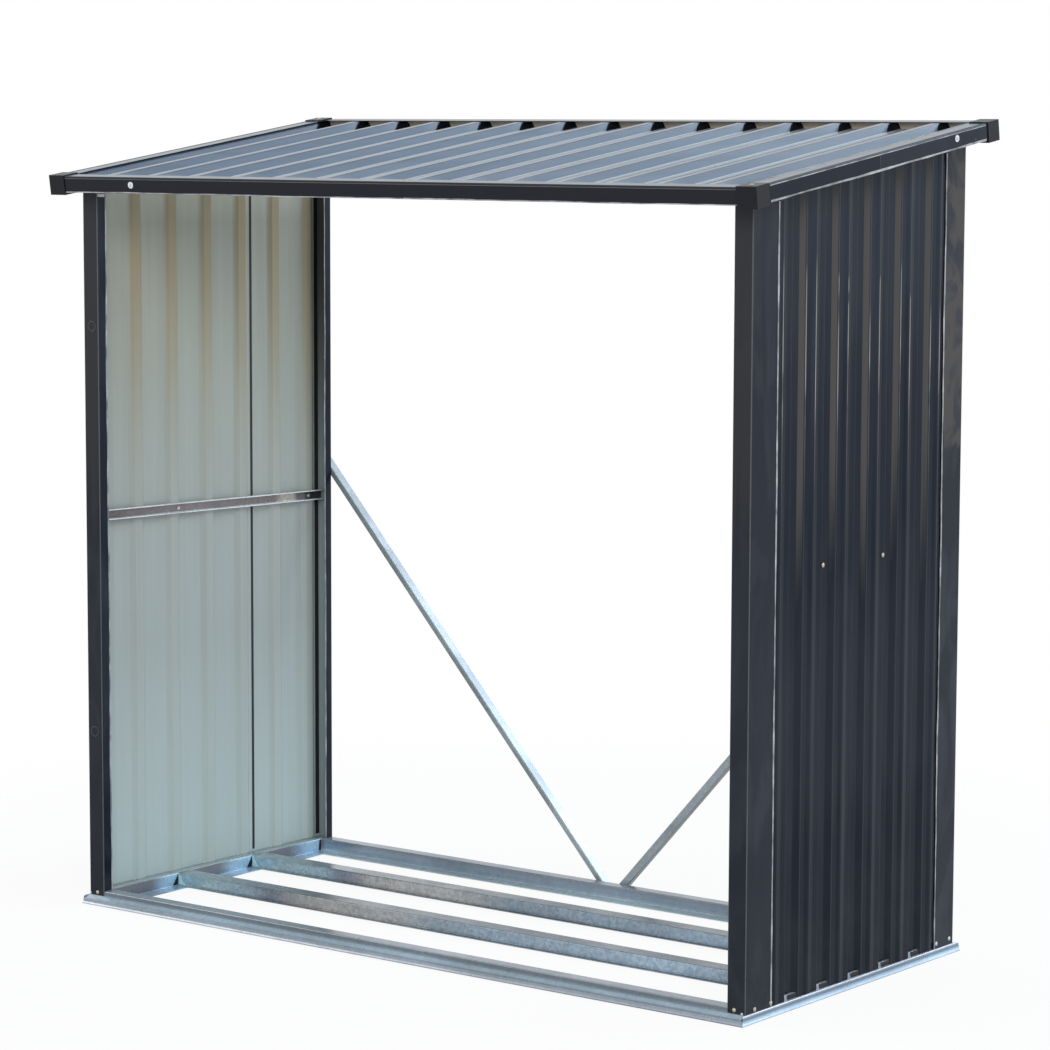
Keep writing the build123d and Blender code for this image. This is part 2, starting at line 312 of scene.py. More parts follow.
feed(spangle, result["Crystals"], crystals)


def galvanised(name, base, crystal_share=0.1, cloud_share=0.12, scale=150.0, metallic=0.35):
    """Zinc-coated steel, whose colour base works out from where a point is and faces."""
    made, tree = new_material(name)
    zinc = use_group(
        tree, spangle, Colour=base(tree, *spot_and_face(tree)), Crystal_share=crystal_share,
        Cloud_share=cloud_share, Crystal_scale=scale,
    )
    grained = put(
        tree, "ShaderNodeBump", Strength=0.02, Distance=0.0003, Height=zinc["Crystals"],
    )
    close(tree, put(
        tree, "ShaderNodeBsdfPrincipled", Base_Color=zinc["Colour"],
        Roughness=zinc["Roughness"], Normal=grained.outputs[0], Metallic=metallic,
    ))
    return made


def end_rail_painted_light(tree, place, facing):
    """Painted light and shade: bands along the front and rear rails, one on each fold, and the
    inner web painted darker upward.
    """
    bands = ramp(tree, place["Z"], 0.0, rail_height, (
        (0.0008, (0.09, 0.11, 0.13)), (0.0025, (0.3, 0.35, 0.41)), (0.0085, (0.28, 0.33, 0.38)),
        (0.0103, (0.15, 0.19, 0.24)), (0.0125, (0.4, 0.52, 0.62)), (0.0152, (0.42, 0.54, 0.64)),
        (0.019, (0.15, 0.18, 0.215)), (0.0235, (0.13, 0.155, 0.18)), (0.0254, (0.26, 0.3, 0.345)),
    ))
    web = ramp(tree, place["Z"], 0.0, rail_height, (
        (0.001, (0.5, 0.62, 0.68)), (0.005, (0.36, 0.44, 0.52)), (0.01, (0.25, 0.32, 0.4)),
        (0.0225, (0.2, 0.24, 0.29)), (0.0254, (0.26, 0.3, 0.34)),
    ))
    inner = reckon(tree, "LESS_THAN", reckon(tree, "ABSOLUTE", place["Y"]), end_rail_web_y)
    return mixed(tree, inner, bands, web)


def side_rail_painted_reflections(tree, place, facing):
    """Painted reflections: a sky-blue nose outside, banded light and dark; inside, each bay goes
    from a dull grey to a bright sky blue, and faces turned up are painted blue low down and,
    higher up, in the pale colour of the wall.
    """
    nose = ramp(tree, place["Z"], 0.0, rail_height, (
        (0.0006, (0.2, 0.24, 0.28)), (0.0025, (0.5, 0.62, 0.74)), (0.0055, (0.5, 0.7, 0.9)),
        (0.0085, (0.3, 0.42, 0.55)), (0.011, (0.15, 0.22, 0.29)), (0.014, (0.2, 0.25, 0.31)),
        (0.0162, (0.48, 0.53, 0.58)), (0.019, (0.3, 0.34, 0.38)), (0.026, (0.26, 0.3, 0.34)),
    ))
    dull, bright = (0.15, 0.165, 0.2), (0.42, 0.62, 0.78)
    bays = ramp(tree, place["Y"], -half_depth, half_depth, (
        (-0.3, dull), (-0.21, dull), (-0.15, bright), (-0.126, bright), (-0.12, dull),
        (-0.01, dull), (0.06, bright), (0.096, bright), (0.102, dull), (0.2, dull),
        (0.29, bright),
    ))
    level = ranged(tree, facing["Z"], 0.6, 0.9)
    low = times(tree, level, reckon(tree, "LESS_THAN", place["Z"], 0.01))
    bays = mixed(tree, times(tree, low, 0.7), bays, (0.38, 0.52, 0.68))
    high = times(tree, level, reckon(tree, "GREATER_THAN", place["Z"], 0.02))
    bays = mixed(tree, high, bays, (0.36, 0.44, 0.43))
    outer = reckon(tree, "ABSOLUTE", place["X"])
    outer = reckon(tree, "GREATER_THAN", outer, side_rail_nose_x)
    return mixed(tree, outer, bays, nose)


end_rail_steel = galvanised("end_rail_steel", end_rail_painted_light)
side_rail_steel = galvanised("side_rail_steel", side_rail_painted_reflections, 0.06)
for name in ("front", "rear"):
    dress("base_rail_" + name, end_rail_steel)
for name in ("left", "right"):
    dress("base_rail_" + name, side_rail_steel)

# Fine grain: noise between a dim and a bright shade.
fine_grain, given, result = group(
    "fine grain",
    (("Dim", (0.3, 0.3, 0.3, 1.0)), ("Bright", (0.4, 0.4, 0.4, 1.0)), ("Scale", 260.0)),
    (("Colour", "NodeSocketColor"),),
)
flecks = noise(fine_grain, points_on(fine_grain), given["Scale"], 3.0)
flecks = ranged(fine_grain, flecks, 0.35, 0.65)
feed(fine_grain, result["Colour"], mixed(fine_grain, flecks, given["Dim"], given["Bright"]))


def plain(name, colour, roughness, metallic=0.0, dim=None, scale=260.0):
    """A material of one colour, grained with a dimmer one."""
    made, tree = new_material(name)
    dim = dim or tuple(part * 0.75 for part in colour)
    grain = use_group(tree, fine_grain, Dim=(*dim, 1.0), Bright=(*colour, 1.0), Scale=scale)
    close(tree, put(
        tree, "ShaderNodeBsdfPrincipled", Base_Color=grain["Colour"], Roughness=roughness,
        Metallic=metallic,
    ))
    return made


def keep(name, shape, finish):
    """Makes a piece of a finished shape, which stays with the store's body."""
    mesh = bpy.data.meshes.new(name)
    bmesh.ops.recalc_face_normals(shape, faces=shape.faces)
    shape.to_mesh(mesh)
    shape.free()
    made = bpy.data.objects.new(name, mesh)
    bpy.context.scene.collection.objects.link(made)
    mesh.materials.append(finish)
    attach(made, "root")
    return made


def plate(name, corners, outward, finish, thickness=plate_thickness):
    """A thin flat plate inside a line of corners."""
    shape = bmesh.new()
    rise = Vector(outward).normalized() * thickness
    foot = [shape.verts.new(Vector(corner)) for corner in corners]
    head = [shape.verts.new(Vector(corner) + rise) for corner in corners]
    shape.faces.new(foot)
    shape.faces.new(head)
    for i in range(len(corners)):
        k = (i + 1) % len(corners)
        shape.faces.new((foot[i], foot[k], head[k], head[i]))
    return keep(name, shape, finish)


def level_plate(name, low_x, high_x, low_y, high_y, level, finish):
    """A thin plate lying level over a rectangle."""
    corners = [(low_x, low_y), (high_x, low_y), (high_x, high_y), (low_x, high_y)]
    return plate(name, [(*corner, level) for corner in corners], (0, 0, 1), finish)


# A painted highlight: a thin pale strip along the upper inner fold of each side rail.
zinc_highlight = plain("zinc_highlight", (0.8, 0.86, 0.92), 0.3, 0.2)
highlight_width = 0.0014
for side_name, fold_x in (("left", -0.7478), ("right", 0.7464)):
    level_plate(
        "rail_bright_fold_" + side_name, fold_x, fold_x + highlight_width, -0.34, 0.312, 0.0259,
        zinc_highlight,
    )

# The open joints of the frame, seen as dark gaps: where the front and right rails meet
# at the corner, and in the rear left corner of the floor.
gap_and_shade_black = plain("gap_and_shade_black", (0.005, 0.006, 0.008), 0.7)
side_rail_web_x = -0.7465
plate("rail_joint_front_right", (
    (0.7799, -0.3592, 0.0045), (0.7813, -0.3580, 0.0045), (0.7812, -0.3580, 0.0150),
    (0.7798, -0.3592, 0.0150),
), (0.6, -0.8, 0.0), gap_and_shade_black, 2 * plate_thickness)
plate("rail_joint_rear_left", (
    (side_rail_web_x, 0.3150, 0.0020), (side_rail_web_x, 0.3070, 0.0020),
    (side_rail_web_x, 0.3095, 0.0240), (side_rail_web_x, 0.3150, 0.0240),
), (1.0, 0.0, 0.0), gap_and_shade_black)


# Floor joists. Two folded zinc-coated channels lie between the side rails, each with the lower
# corner of its web bent a little at the left end, where it meets the rail. The bent corner is a
# bright triangle painted with the sky's reflection, and beside it a dark triangle on the rail's
# web is a painted reflection of the joist.
half_width = 0.78
joist_left_end = -0.7448
joist_sheet = 0.0015
joist_bend_length = 0.018
joist_flange = 0.026
end_line_width = 0.0016
web_foot = 0.0031
web_head = 0.0245
reflection_foot = 0.0022
reflection_reach = 0.0175


def joist_painted_reflections(tree, place, facing):
    """Painted reflections: teal grey at the left, a brownish patch, then pale blue; faces turned
    up have their own painted reflection, and the lower fold is painted dark as shade.
    """
    web = ramp(tree, place["X"], -half_width, half_width, (
        (-0.76, (0.36, 0.5, 0.54)), (-0.56, (0.25, 0.35, 0.41)), (-0.5, (0.17, 0.2, 0.26)),
        (-0.42, (0.36, 0.36, 0.36)), (-0.2, (0.35, 0.36, 0.37)), (-0.05, (0.22, 0.28, 0.34)),
        (0.2, (0.25, 0.32, 0.39)), (0.45, (0.29, 0.38, 0.47)), (0.75, (0.3, 0.4, 0.5)),
    ))
    web = mixed(tree, ranged(tree, place["Z"], 0.0035, 0.001), web, (0.13, 0.16, 0.2))
    top = ramp(tree, place["X"], -half_width, half_width, (
        (-0.7, (0.3, 0.37, 0.4)), (-0.4, (0.2, 0.23, 0.26)), (0.0, (0.09, 0.12, 0.15)),
    ))
    return mixed(tree, ranged(tree, facing["Z"], 0.6, 0.9), web, top)


joist_steel = galvanised("joist_steel", joist_painted_reflections, 0.3, 0.15, 190.0)
bent_corner_sky_reflection = plain("bent_corner_sky_reflection", (0.58, 0.92, 1.0), 0.35)
for name, web_y in (("front", -0.124), ("rear", 0.098)):
    dress("floor_joist_" + name, joist_steel)
    face_y = web_y - joist_sheet
    plate("joist_bent_corner_" + name, (
        (joist_left_end, face_y, web_head), (joist_left_end, face_y, web_foot),
        (joist_left_end + joist_bend_length, face_y, web_foot),
    ), (0.0, -1.0, 0.0), bent_corner_sky_reflection)
    plate("joist_dark_reflection_" + name, (
        (side_rail_web_x, face_y, web_head), (side_rail_web_x, face_y, reflection_foot),
        (side_rail_web_x, web_y - reflection_reach, reflection_foot),
    ), (1.0, 0.0, 0.0), gap_and_shade_black)
    level_plate(
        "joist_end_line_" + name, joist_left_end, joist_left_end + end_line_width,
        web_y + 0.001, web_y + joist_flange, rail_height, gap_and_shade_black,
    )


# Corner posts. Four posts are folded from pre-coated steel, dark blue-grey outside and
# pale grey-green primer inside, with open edges where bare bright steel shows.
coat_dark = (0.004, 0.0075, 0.0165)
coat_light = (0.036, 0.043, 0.057)
dust_grey = (0.3, 0.3, 0.29)
speck_grey = (0.4, 0.4, 0.4)
streak_grey = (0.2, 0.23, 0.23)
coat_gloss = 0.16
coat_tint = (0.72, 0.86, 1.0, 1.0)
primer_gloss = 0.4
post_fold = (0.759, 0.306, 0.0)
store_height = 1.5
strip_step = 0.012

# Coat side: which side of the folded sheet a point is on, the outer one where its face
# looks away from the middle of the fold. Absolute values fold both ends of the store
# onto one.
coat_side, given, result = group(
    "coat side",
    (("Middle", (0.0, 0.0, 0.0)), ("Axes", (1.0, 1.0, 1.0)), ("Slope", 0.0)),
    (("Outside", "NodeSocketFloat"),),
)
point = split(coat_side, points_on(coat_side))
face = split(coat_side, coat_side.nodes.new("ShaderNodeNewGeometry").outputs["True Normal"])
middle = split(coat_side, given["Middle"])
axes = split(coat_side, given["Axes"])
total = 0.0
for axis in ("X", "Y"):
    reach = reckon(coat_side, "ABSOLUTE", point[axis])
    reach = reckon(coat_side, "SUBTRACT", reach, middle[axis])
    turned = times(coat_side, face[axis], reckon(coat_side, "SIGN", point[axis]))
    total = reckon(coat_side, "ADD", total, times(coat_side, reach, turned, axes[axis]))
height = reckon(coat_side, "SUBTRACT", point["Z"], times(coat_side, point["Y"], given["Slope"]))
height = reckon(coat_side, "SUBTRACT", height, middle["Z"])
total = reckon(coat_side, "ADD", total, times(coat_side, height, face["Z"], axes["Z"]))
feed(coat_side, result["Outside"], reckon(coat_side, "GREATER_THAN", total, -0.0001))

# Weather and sheen: tone of the coat, lighter at the head and below the middle and darkest at half
# height, is a painted reflection of the surroundings; so are its long upright streaks and the
# clouds where it is dented; then dust and pale specks.
weather_and_sheen, given, result = group(
    "weather_and_sheen",
    (("Dust height", 0.3), ("Cloud share", 0.3)),
    [(name, "NodeSocketFloat") for name in ("Tone", "Head", "Dents", "Dust", "Specks", "Streaks")],
)
points = points_on(weather_and_sheen)
level = split(weather_and_sheen, points)["Z"]
streaks = noise(weather_and_sheen, stretched(weather_and_sheen, points, 60.0, 60.0, 1.3), 1.0, 3.0)
streaks = ranged(weather_and_sheen, streaks, 0.35, 0.65)
swing = reckon(weather_and_sheen, "SUBTRACT", streaks, 0.5)
shifted = reckon(weather_and_sheen, "ADD", level, times(weather_and_sheen, swing, 0.16))
tones = (
    (0.0, 0.06), (0.24, 0.12), (0.4, 0.48), (0.6, 0.5), (0.7, 0.25), (0.8, 0.04),
    (0.96, 0.05), (1.11, 0.32), (1.25, 0.72), (1.42, 0.85),
)
tone = ramp(weather_and_sheen, shifted, 0.0, store_height, [(place, (tone,) * 3) for place, tone in tones])
dents = stretched(weather_and_sheen, points, 11.0, 11.0, 4.5)
dents = noise(weather_and_sheen, dents, 1.0, 2.0, Distortion=1.2)
dents = ranged(weather_and_sheen, dents, 0.4, 0.62, smooth=True)
dented = times(weather_and_sheen, reckon(weather_and_sheen, "SUBTRACT", dents, 0.5), given["Cloud share"])
tone = reckon(weather_and_sheen, "ADD", one_value(weather_and_sheen, tone), dented)
tone = reckon(weather_and_sheen, "ADD", tone, times(weather_and_sheen, swing, 0.14))
low = ranged(weather_and_sheen, level, given["Dust height"], 0.0, smooth=True)
dust = noise(weather_and_sheen, points, 9.0, 5.0, Roughness=0.65)
dots = put(weather_and_sheen, "ShaderNodeTexVoronoi", Vector=points, Scale=38.0, Randomness=1.0)
dot_size = ranged(weather_and_sheen, one_value(weather_and_sheen, dots.outputs["Color"]), 0.9, 1.0, 0.0, 0.06)
specks = reckon(weather_and_sheen, "LESS_THAN", dots.outputs["Distance"], dot_size)
feed(weather_and_sheen, result["Tone"], put(weather_and_sheen, "ShaderNodeClamp", Value=tone).outputs[0])
feed(weather_and_sheen, result["Head"], ranged(weather_and_sheen, shifted, 0.62, 0.98, smooth=True))
feed(weather_and_sheen, result["Dents"], dents)
feed(weather_and_sheen, result["Dust"], times(weather_and_sheen, low, ranged(weather_and_sheen, dust, 0.4, 0.7)))
feed(weather_and_sheen, result["Specks"], specks)
feed(weather_and_sheen, result["Streaks"], streaks)

# Dark coat: its colour, painted warmer on faces turned to the front as a reflection of the ground
# before them, under dust and specks.
dark_coat, given, result = group(
    "dark coat",
    (
        ("Tone", 0.5), ("Head", 0.0), ("Dust", 0.0), ("Specks", 0.0), ("Facing", 0.0),
        ("Darkest", 0.0), ("Lightest", 0.6), ("Warm", (0.03, 0.029, 0.03, 1.0)),
        ("Warm share", 0.35),
    ),
    (("Colour", "NodeSocketColor"),),
)
tone = ranged(dark_coat, given["Tone"], 0.0, 1.0, given["Darkest"], given["Lightest"])
coat = mixed(dark_coat, tone, coat_dark, coat_light)
warmth = reckon(dark_coat, "MAXIMUM", given["Head"], given["Warm share"])
warmth = times(dark_coat, ranged(dark_coat, given["Facing"], -0.15, -0.5), warmth, 0.85)
coat = mixed(dark_coat, warmth, coat, given["Warm"])
coat = mixed(dark_coat, times(dark_coat, given["Dust"], 0.04), coat, dust_grey)
coat = mixed(dark_coat, times(dark_coat, given["Specks"], 0.6), coat, speck_grey)
feed(dark_coat, result["Colour"], coat)

# Pale primer: its colour, from one at the foot to one at the head, with streaks; the change up the
# height is painted light and shade.
pale_primer, given, result = group(
    "pale primer",
    (
        ("Height", 0.0), ("Streaks", 0.0), ("Foot", (0.3, 0.36, 0.37, 1.0)),
        ("Head", (0.07, 0.07, 0.062, 1.0)),
    ),
    (("Colour", "NodeSocketColor"),),
)
rise = ranged(pale_primer, given["Height"], 0.5, 1.35, smooth=True)
primer = mixed(pale_primer, rise, given["Foot"], given["Head"])
streaked = times(pale_primer, given["Streaks"], 0.12)
feed(pale_primer, result["Colour"], mixed(pale_primer, streaked, primer, streak_grey))

# Long waves: the height of the low waves in folded sheet.
long_waves, given, result = group(
    "long waves", (("Scale", 1.0),), (("Height", "NodeSocketFloat"),)
)
upright = stretched(long_waves, points_on(long_waves), 9.0, 9.0, 2.2)
feed(long_waves, result["Height"], noise(long_waves, upright, given["Scale"], 2.0))


def coated(tree, wear_and_sheen, facing, tones, warm, warm_share):
    """The dark coat's colour, with its painted reflections, on sheet that is weathered as given.
    """
    return use_group(
        tree, dark_coat, Tone=wear_and_sheen["Tone"], Head=wear_and_sheen["Head"], Dust=wear_and_sheen["Dust"],
        Specks=wear_and_sheen["Specks"], Facing=facing["Y"], Darkest=tones[0], Lightest=tones[1],
        Warm=(*warm, 1.0), Warm_share=warm_share,
    )["Colour"]


def primed(tree, wear_and_sheen, place, foot, head):
    """The primer's colour, with its painted light and shade up the height, on sheet that is
    weathered as given.
    """
    return use_group(
        tree, pale_primer, Height=place["Z"], Streaks=wear_and_sheen["Streaks"], Foot=(*foot, 1.0),
        Head=(*head, 1.0),
    )["Colour"]


def finish_sheet(tree, outside, coat, primer, shine):
    """Puts coat and primer on their sides of a sheet that waves a little."""
    waves = use_group(tree, long_waves, Scale=1.0)["Height"]
    waviness = put(tree, "ShaderNodeBump", Strength=0.3, Distance=0.004, Height=waves)
    close(tree, put(
        tree, "ShaderNodeBsdfPrincipled", Base_Color=mixed(tree, outside, primer, coat),
        Roughness=ranged(tree, outside, 0.0, 1.0, primer_gloss, coat_gloss),
        Normal=waviness.outputs[0], IOR=1.5, Specular_IOR_Level=shine,
        Specular_Tint=coat_tint,
    ))


def post_coat(name, clouds, brown_head=0.0):
    """Finish of a post; brown_head is the share of warm clouds on its upper side."""
    made, tree = new_material(name)
    place, facing = spot_and_face(tree)
    outside = use_group(tree, coat_side, Middle=post_fold, Axes=(1.0, 1.0, 0.0))
    wear_and_sheen = use_group(tree, weather_and_sheen, Cloud_share=clouds)
    coat = coated(tree, wear_and_sheen, facing, (0.08, 0.6), (0.03, 0.029, 0.03), 0.35)
    if brown_head:
        to_side = ranged(tree, facing["X"], 0.5, 0.9)
        ragged = reckon(tree, "MULTIPLY_ADD", wear_and_sheen["Dents"], 0.05, place["Z"])
        brown = times(tree, to_side, ranged(tree, ragged, 0.985, 1.0))
        blotches = noise(tree, points_on(tree), 13.0, 2.0, Distortion=1.5)
        brown = times(tree, brown, ranged(tree, blotches, 0.4, 0.58, 0.2, 1.0), brown_head)
        coat = mixed(tree, brown, coat, (0.058, 0.054, 0.052))
    # Painted shade: the posts' primer darkens towards the head, under the roof.
    primer = primed(tree, wear_and_sheen, place, (0.3, 0.36, 0.37), (0.07, 0.07, 0.062))
    finish_sheet(tree, outside["Outside"], coat, primer, 0.14)
    return made


# The coat's clouds are painted reflections of dents; the rear right post has them strongest, with
# warm clouds on its upper side.
post_finish = post_coat("post_coat", 0.55)
for name in ("front_left", "front_right", "rear_left"):
    dress("corner_post_" + name, post_finish)
dress("corner_post_rear_right", post_coat("dented_post_coat", 1.0, 1.0))

# Bare edge of the folded sheet: a thin bright line that waves a little, since the edge was folded
# by hand tools. It follows every open edge of the posts and trims, and also paints the highlight
# along the outer corner of each side trim. A slightly lighter grey paints highlights on folds, on
# the end trims' faces and round the pressed rings.
bare_edge_and_highlight = plain("bare_edge_and_highlight", (0.42, 0.43, 0.46), 0.4, 0.3, (0.14, 0.15, 0.17), 30.0)
fold_highlight = plain("fold_highlight", (0.07, 0.075, 0.083), 0.4)


def wave(run, phase):
    """A slow irregular wave between about -1 and 1."""
    slow = 0.5 * sin(run * 9.0 + phase)
    return slow + 0.3 * sin(run * 23.0 + 2.3 * phase) + 0.2 * sin(run * 57.0 + phase)


def strip(
    name, start, stop, across, outward, width, waving, finish, lift=plate_thickness, phase=0.0,
):
    """A thin strip from one point to another, whose width and line wave a little."""
    start = Vector(start)
    stop = Vector(stop)
    across = Vector(across).normalized()
    outward = Vector(outward).normalized()
    length = (stop - start).length
    count = max(2, int(length / strip_step))
    shape = bmesh.new()
    rows = []
    for i in range(count + 1):
        share = i / count
        run = share * length
        middle = start.lerp(stop, share) + across * waving * wave(run, phase)
        half = width * 0.5
        if waving:
            half *= 1.0 + 0.35 * wave(run * 1.7, phase + 1.0)
        corners = []
        for side, rise in ((-1, 0.0), (1, 0.0), (1, 1.0), (-1, 1.0)):
            corners.append(shape.verts.new(middle + across * side * half + outward * lift * rise))
        rows.append(corners)
    for first, second in zip(rows, rows[1:]):
        for k in range(4):
            shape.faces.new((first[k], first[(k + 1) % 4], second[(k + 1) % 4], second[k]))
    shape.faces.new(rows[0][::-1])
    shape.faces.new(rows[-1])
    return keep(name, shape, finish)


def screws(name, places, facing, radius, finish, height=0.45):
    """Domed screw heads with a thin flange, all in one piece."""
    turn = Vector(facing).to_track_quat("Z", "Y").to_matrix().to_4x4()
    shape = bmesh.new()
    for place in places:
        spot = Matrix.Translation(Vector(place)) @ turn
        bmesh.ops.create_cone(
            shape, cap_ends=True, segments=24, radius1=radius, radius2=radius * 0.94,
            depth=radius * 0.3, matrix=spot,
        )
        dome = spot @ Matrix.Diagonal((0.78, 0.78, height, 1.0))
        bmesh.ops.create_uvsphere(shape, u_segments=20, v_segments=10, radius=radius, matrix=dome)
    made = keep(name, shape, finish)
    for polygon in made.data.polygons:
        polygon.use_smooth = len(polygon.vertices) < 5
    return made


# Open edges, each given by its distance from the middle, its depth, its foot and its
# head, then by its width and how far it waves on each post.
open_edges = {
    "front_side": (0.7783, -0.2672, 0.018, 1.401),
    "rear_side": (0.7783, 0.276, 0.018, 1.478),
    "front_return": (0.7397, -0.3225, 0.027, 1.39),
    "rear_return": (0.7397, 0.3235, 0.027, 1.48),
}
post_edges = (
    ("front", "right", "side", 0.0038, 0.0005), ("rear", "right", "side", 0.0036, 0.0014),
    ("front", "left", "return", 0.0034, 0.0012), ("rear", "left", "return", 0.0026, 0.0011),
    ("front", "left", "side", 0.0034, 0.0008), ("rear", "left", "side", 0.0034, 0.0012),
    ("front", "right", "return", 0.003, 0.0011), ("rear", "right", "return", 0.003, 0.0011),
)
for number, (end_name, side_name, edge_name, width, waving) in enumerate(post_edges):
    reach, edge_y, low, high = open_edges[end_name + "_" + edge_name]
    turned = 1 if side_name == "right" else -1
    looks = turned if edge_name == "side" else -turned
    strip(
        "post_edge_" + end_name + "_" + side_name + "_" + edge_name,
        (reach * turned, edge_y, low), (reach * turned, edge_y, high), (0, 1, 0),
        (looks, 0, 0), width, waving, bare_edge_and_highlight, phase=number * 1.3,
    )
# Painted highlights: a thin lighter strip down the outer and the inner fold of each front post's
# face.
fold_y = -0.3441
for name, fold_x, turned in (
    ("front_right_outer", 0.7771, 1), ("front_left_inner", -0.7409, 1),
    ("front_left_outer", -0.7771, -1), ("front_right_inner", 0.7409, -1),
):
    strip(
        "post_fold_" + name, (fold_x, fold_y, 0.018), (fold_x, fold_y, 1.398),
        (1, turned, 0), (turned, -1, 0), 0.0022, 0.0, fold_highlight,
    )

brass = plain("screw_brass", (0.5, 0.46, 0.34), 0.3, 0.8)
zinc_head = plain("screw_zinc", (0.6, 0.61, 0.6), 0.28, 0.8)
screw_x = 0.7782
screw_y = 0.3452
to_front, to_rear, to_left, to_right = (0, -1, 0), (0, 1, 0), (-1, 0, 0), (1, 0, 0)
rear_foot_screws = ((0.284, 0.0265), (0.33, 0.028))
screws(
    "foot_screws_front", [(0.755, -screw_y, 0.0235), (-0.757, -screw_y, 0.0225)], to_front,
    0.0038, brass,
)
screws("foot_screw_front_corner", [(0.771, -screw_y, 0.0185)], to_front, 0.0026, zinc_head)
screws(
    "foot_screw_front_left_corner", [(-0.7755, -screw_y, 0.0195)], to_front, 0.0022, zinc_head,
)
screws(
    "foot_screws_right", [(screw_x, -0.317, 0.0225), (screw_x, -0.267, 0.024)], to_right,
    0.0042, brass,
)
screws(
    "foot_screws_right_rear", [(screw_x, *place) for place in rear_foot_screws], to_right,
    0.004, zinc_head,
)
screws(
    "foot_screws_left",
    [(-screw_x, *place) for place in ((-0.317, 0.0225), (-0.263, 0.024), *rear_foot_screws)],
    to_left, 0.004, zinc_head,
)
screws(
    "foot_screws_rear", [(0.755, screw_y, 0.0235), (-0.755, screw_y, 0.0235)], to_rear, 0.004,
    zinc_head,
)

# Two rings pressed into the face of the front left post, where a screw could go; their lighter
# colour is a painted highlight.
ring_radius = 0.0095
for number, (ring_x, ring_z) in enumerate(((-0.757, 1.137), (-0.760, 0.343)), 1):
    bpy.ops.mesh.primitive_torus_add(
        major_radius=ring_radius, minor_radius=0.0005, major_segments=40, minor_segments=8,
        location=(ring_x, -0.3451, ring_z), rotation=(pi / 2, 0.0, 0.0),
    )
    ring = bpy.context.object
    ring.name = "pressed_ring_" + str(number)
    ring.data.name = ring.name
    ring.data.materials.append(fold_highlight)
    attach(ring, "root")


# Wall sheets. Each side is closed by two lengths of ribbed pre-coated sheet, coat out and
# primer in; they are screwed to the wall rail and tucked behind the posts' flanges.
rib_pitch = 0.1025
rib_shift = 0.004
fold_offsets = (0.024, 0.054)
wall_finish, tree = new_material("wall_coat")
place, facing = spot_and_face(tree)
outside = use_group(tree, coat_side, Middle=(0.0, 0.0, 0.0), Axes=(1.0, 0.0, 0.0))["Outside"]
wear_and_sheen = use_group(tree, weather_and_sheen, Cloud_share=0.12)
# Painted reflection: faces turned to the front take a brownish warm colour.
coat = coated(tree, wear_and_sheen, facing, (0.02, 0.6), (0.09, 0.084, 0.079), 0.12)
# Painted highlights: a thin pale line runs down each fold beside the ribs, cream near the head.
# Ten pitches are added to the depth, so that what is left over is never negative.
along = reckon(tree, "ADD", place["Y"], 10 * rib_pitch - rib_shift)
along = reckon(tree, "MODULO", along, rib_pitch)
nearest = 1.0
for offset in fold_offsets:
    away = reckon(tree, "ABSOLUTE", reckon(tree, "SUBTRACT", along, offset))
    nearest = reckon(tree, "MINIMUM", nearest, away)
line = ranged(tree, nearest, 0.0019, 0.0007)
ragged = reckon(tree, "MULTIPLY_ADD", wear_and_sheen["Dents"], 0.1, place["Z"])
glint = ramp(tree, ragged, 0.0, store_height, (
    (0.1, (0.034, 0.038, 0.045)), (0.95, (0.036, 0.042, 0.052)), (1.08, (0.1, 0.1, 0.097)),
    (1.19, (0.4, 0.39, 0.34)), (1.26, (0.3, 0.3, 0.27)), (1.32, (0.06, 0.07, 0.08)),
))
coat = mixed(tree, times(tree, line, 0.75), coat, glint)
# Painted light and shade on the primer: its colour changes up the height, it is lighter near the
# head and bluer near the foot, and the rib crests are painted tan towards the head.
primer = primed(tree, wear_and_sheen, place, (0.384, 0.43, 0.42), (0.37, 0.38, 0.325))
primer = mixed(tree, ranged(tree, place["Z"], 1.33, 1.41), primer, (0.56, 0.57, 0.5))
primer = mixed(tree, ranged(tree, place["Z"], 0.5, 0.1), primer, (0.45, 0.54, 0.54))
on_rib = ranged(tree, reckon(tree, "ABSOLUTE", place["X"]), 0.7735, 0.7700)
near_head = ranged(tree, place["Z"], 0.8, 1.3, 0.08, 0.8, smooth=True)
primer = mixed(tree, times(tree, on_rib, near_head), primer, (0.34, 0.28, 0.175))
finish_sheet(tree, outside, coat, primer, 0.08)
for side_name in ("left", "right"):
    for end_name in ("front", "rear"):
        dress(side_name + "_wall_sheet_" + end_name, wall_finish)

# Painted shadow: dark strips where the laps of the wall sheets stand a little open, and where
# their rear edges pass behind the posts; they stand for the shade in those gaps.
for name, gap_x, gap_y, high, width in (
    ("wall_lap_shade_left_inside", -0.7743, 0.1325, 1.44, 0.0066),
    ("wall_gap_shade_left_rear", -0.7743, 0.335, 1.47, 0.0115),
    ("wall_gap_shade_right_rear", 0.7758, 0.2662, 1.46, 0.0135),
):
    strip(
        name, (gap_x, gap_y, 0.03), (gap_x, gap_y, high), (0, 1, 0), to_right, width, 0.0,
        gap_and_shade_black,
    )
